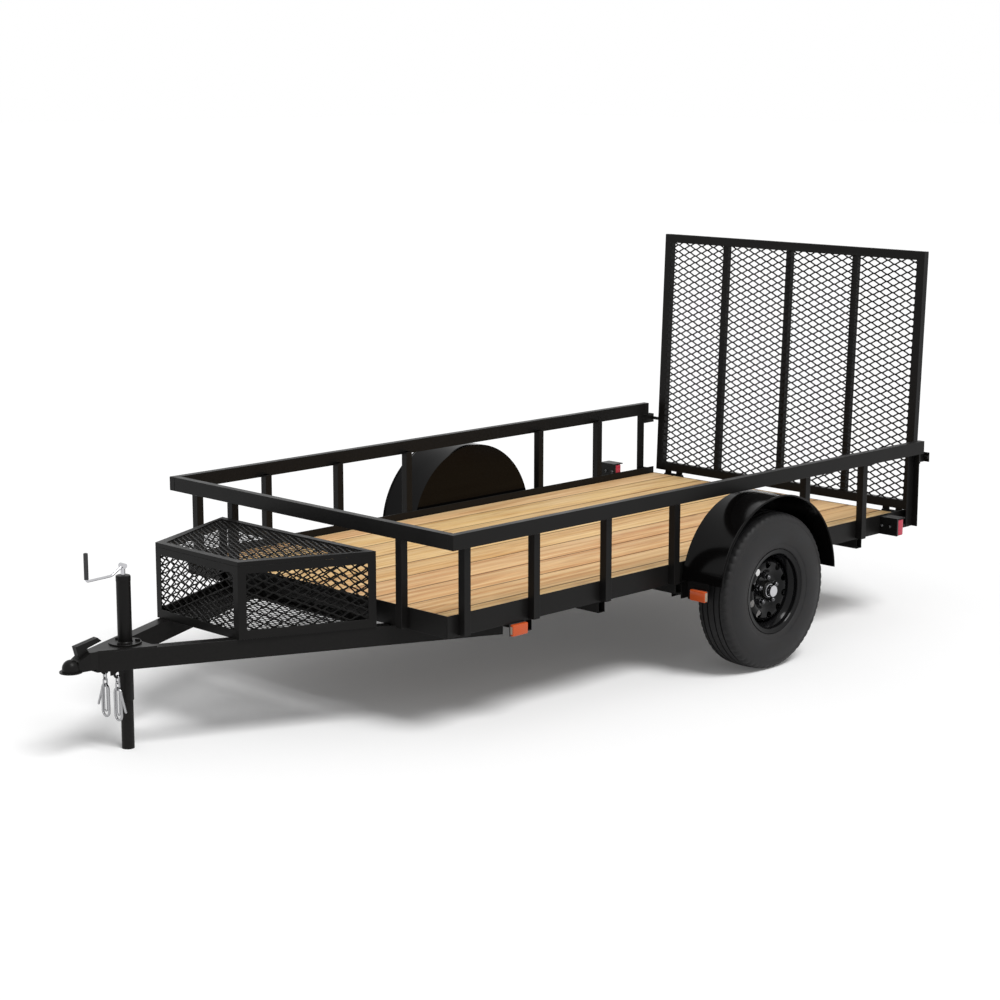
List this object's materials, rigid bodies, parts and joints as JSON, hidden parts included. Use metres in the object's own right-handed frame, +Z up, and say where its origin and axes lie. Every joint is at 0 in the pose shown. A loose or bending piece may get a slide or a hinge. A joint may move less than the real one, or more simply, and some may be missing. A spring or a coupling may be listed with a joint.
{
  "type": "utility trailer",
  "caption": "Single-axle utility trailer with a wooden deck, tube side rails, a mesh loading gate, a mesh tool basket and a screw jack at the ball coupler.",
  "frame": {"origin": "on the floor, at the middle of the whole length and width", "axes": "+X forwards to the hitch, +Y to the trailer's left side, +Z up"},
  "size_m": [4.3246, 2.09, 1.6977],
  "materials": {
    "black_paint": "satin powder coat",
    "black_mesh": "satin powder coat",
    "deck_wood": "planed pine, unpainted",
    "tyre_rubber": "matt",
    "zinc_plate": "bright zinc plate",
    "hub_black": "gloss",
    "amber_lens": "gloss",
    "red_lens": "gloss"
  },
  "bodies": {
    "chassis": {"axle_beam": "black_paint", "axle_pads_left": "black_paint", "axle_pads_right": "black_paint", "basket_frame": "black_paint", "basket_mesh": "black_mesh", "chain_tab_left": "black_paint", "chain_tab_right": "black_paint", "coupler": "black_paint", "coupler_latch": "black_paint", "crossmembers": "black_paint", "deck_boards": "deck_wood", "fender_left": "black_paint", "fender_right": "black_paint", "frame_front": "black_paint", "frame_rear": "black_paint", "frame_side_left": "black_paint", "frame_side_right": "black_paint", "gate_hinge_knuckles": "black_paint", "jack_crank": "zinc_plate", "jack_tube": "black_paint", "latch_left": "black_paint", "latch_right": "black_paint", "lid_hinges": "black_paint", "post_left": "black_paint", "post_right": "black_paint", "rail_front": "black_paint", "rail_left": "black_paint", "rail_right": "black_paint", "safety_chain_left": "zinc_plate", "safety_chain_right": "zinc_plate", "side_marker_left": "amber_lens", "side_marker_right": "amber_lens", "spring_hangers_left": "black_paint", "spring_hangers_right": "black_paint", "spring_left": "black_paint", "spring_right": "black_paint", "tail_bracket_left": "black_paint", "tail_bracket_right": "black_paint", "tail_lamp_left": "red_lens", "tail_lamp_right": "red_lens", "tongue_left": "black_paint", "tongue_right": "black_paint", "uprights_front": "black_paint", "uprights_left": "black_paint", "uprights_right": "black_paint"},
    "wheel_left": {"hub_left": "hub_black", "rim_left": "black_paint", "tyre_left": "tyre_rubber"},
    "wheel_right": {"hub_right": "hub_black", "rim_right": "black_paint", "tyre_right": "tyre_rubber"},
    "gate": {"gate_bars": "black_paint", "gate_frame": "black_paint", "gate_hinge_leaves": "black_paint", "gate_mesh": "black_mesh"},
    "lid": {"lid_frame": "black_paint", "lid_mesh": "black_mesh"},
    "jack_leg": {"jack_leg": "black_paint"}
  },
  "joints": [
    {"name": "wheel_left_spin", "type": "hinge", "parent": "chassis", "child": "wheel_left", "pos_m": [-0.76654, 0.945, 0.34], "axis": [0, 1, 0], "continuous": true},
    {"name": "wheel_right_spin", "type": "hinge", "parent": "chassis", "child": "wheel_right", "pos_m": [-0.76654, -0.945, 0.34], "axis": [0, 1, 0], "continuous": true},
    {"name": "gate_swing", "type": "hinge", "parent": "chassis", "child": "gate", "pos_m": [-2.09404, 0, 0.45], "axis": [0, -1, 0], "range_deg": [0, 107.5]},
    {"name": "lid_swing", "type": "hinge", "parent": "chassis", "child": "lid", "pos_m": [1.02046, 0, 0.69], "axis": [0, -1, 0], "range_deg": [0, 80]},
    {"name": "jack_slide", "type": "slide", "parent": "chassis", "child": "jack_leg", "axis": [0, 0, 1], "range_m": [0, 0.18]}
  ]
}
